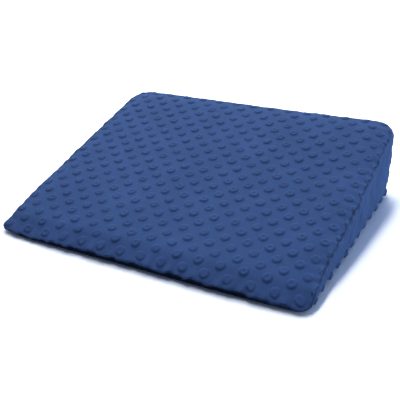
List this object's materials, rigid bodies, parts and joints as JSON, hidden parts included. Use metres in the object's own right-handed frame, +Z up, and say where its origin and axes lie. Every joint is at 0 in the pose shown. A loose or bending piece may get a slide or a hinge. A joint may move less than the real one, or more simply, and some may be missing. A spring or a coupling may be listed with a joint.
{
  "type": "wedge pillow",
  "caption": "Wedge pillow: a foam-filled wedge, low at the front edge and thick at the back, in a sewn cover of raised-dot plush.",
  "frame": {"origin": "on the floor, under the middle of the pillow's outline", "axes": "+X from the left side to the right side, +Y from the thin front edge to the thick back, +Z up from the flat underside"},
  "size_m": [0.3696, 0.3042, 0.0874],
  "materials": {
    "plush": "short-pile plush with raised round dots, matt, royal blue"
  },
  "bodies": {
    "root": {"wedge_pillow": "plush"}
  },
  "joints": []
}
